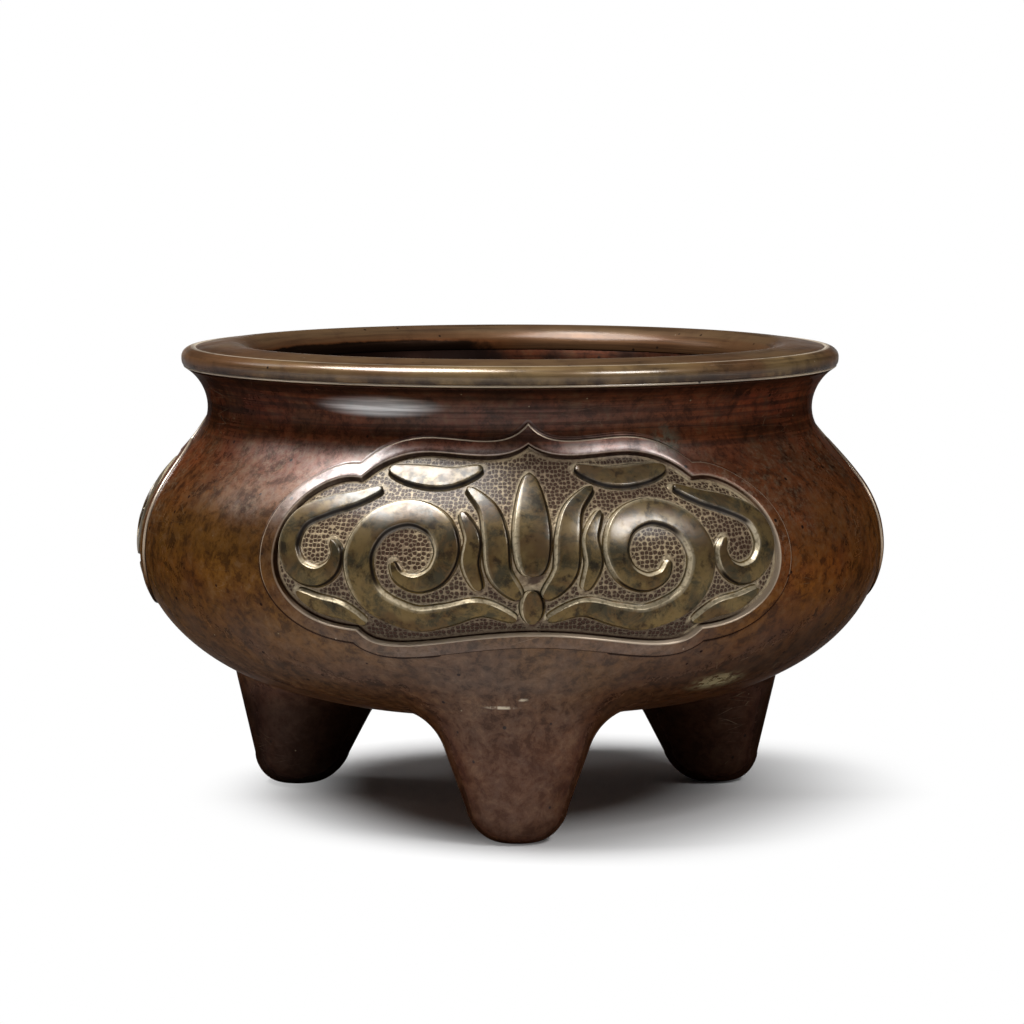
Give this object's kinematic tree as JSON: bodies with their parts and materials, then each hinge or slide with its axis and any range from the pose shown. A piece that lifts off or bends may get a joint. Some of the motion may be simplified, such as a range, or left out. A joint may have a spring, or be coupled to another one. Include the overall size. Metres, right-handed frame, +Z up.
{
  "type": "tripod censer",
  "caption": "Squat cast bronze tripod censer: round-bellied bowl with a rolled lip on conical feet, with a lobed cartouche of scrolling relief above each foot.",
  "frame": {"origin": "on the bowl's axis, on the surface that the feet stand on", "axes": "+Z up along the bowl's axis, front foot and front cartouche towards -Y"},
  "size_m": [0.2007, 0.2004, 0.1246],
  "materials": {
    "body": "cast bronze with a dark chocolate-brown patina, softly polished",
    "lip": "cast bronze worn to olive brown, softly polished",
    "ground": "ring-punched bronze ground, matt grey brown",
    "relief": "raised bronze relief, rubbed to olive brass on its edges"
  },
  "bodies": {
    "root": {"bowl": "body", "lip": "lip", "front_foot": "body", "front_cartouche_frame": "body", "front_cartouche_ground": "ground", "front_bud": "relief", "front_drop": "relief", "front_petal_right": "relief", "front_petal_left": "relief", "front_inner_leaf_right": "relief", "front_inner_leaf_left": "relief", "front_top_leaf_right": "relief", "front_top_leaf_left": "relief", "front_low_leaf_right": "relief", "front_low_leaf_left": "relief", "front_scroll_right": "relief", "front_scroll_left": "relief", "front_end_scroll_right": "relief", "front_end_scroll_left": "relief", "rear_right_foot": "body", "rear_right_cartouche_frame": "body", "rear_right_cartouche_ground": "ground", "rear_right_bud": "relief", "rear_right_drop": "relief", "rear_right_petal_right": "relief", "rear_right_petal_left": "relief", "rear_right_inner_leaf_right": "relief", "rear_right_inner_leaf_left": "relief", "rear_right_top_leaf_right": "relief", "rear_right_top_leaf_left": "relief", "rear_right_low_leaf_right": "relief", "rear_right_low_leaf_left": "relief", "rear_right_scroll_right": "relief", "rear_right_scroll_left": "relief", "rear_right_end_scroll_right": "relief", "rear_right_end_scroll_left": "relief", "rear_left_foot": "body", "rear_left_cartouche_frame": "body", "rear_left_cartouche_ground": "ground", "rear_left_bud": "relief", "rear_left_drop": "relief", "rear_left_petal_right": "relief", "rear_left_petal_left": "relief", "rear_left_inner_leaf_right": "relief", "rear_left_inner_leaf_left": "relief", "rear_left_top_leaf_right": "relief", "rear_left_top_leaf_left": "relief", "rear_left_low_leaf_right": "relief", "rear_left_low_leaf_left": "relief", "rear_left_scroll_right": "relief", "rear_left_scroll_left": "relief", "rear_left_end_scroll_right": "relief", "rear_left_end_scroll_left": "relief"}
  },
  "joints": []
}
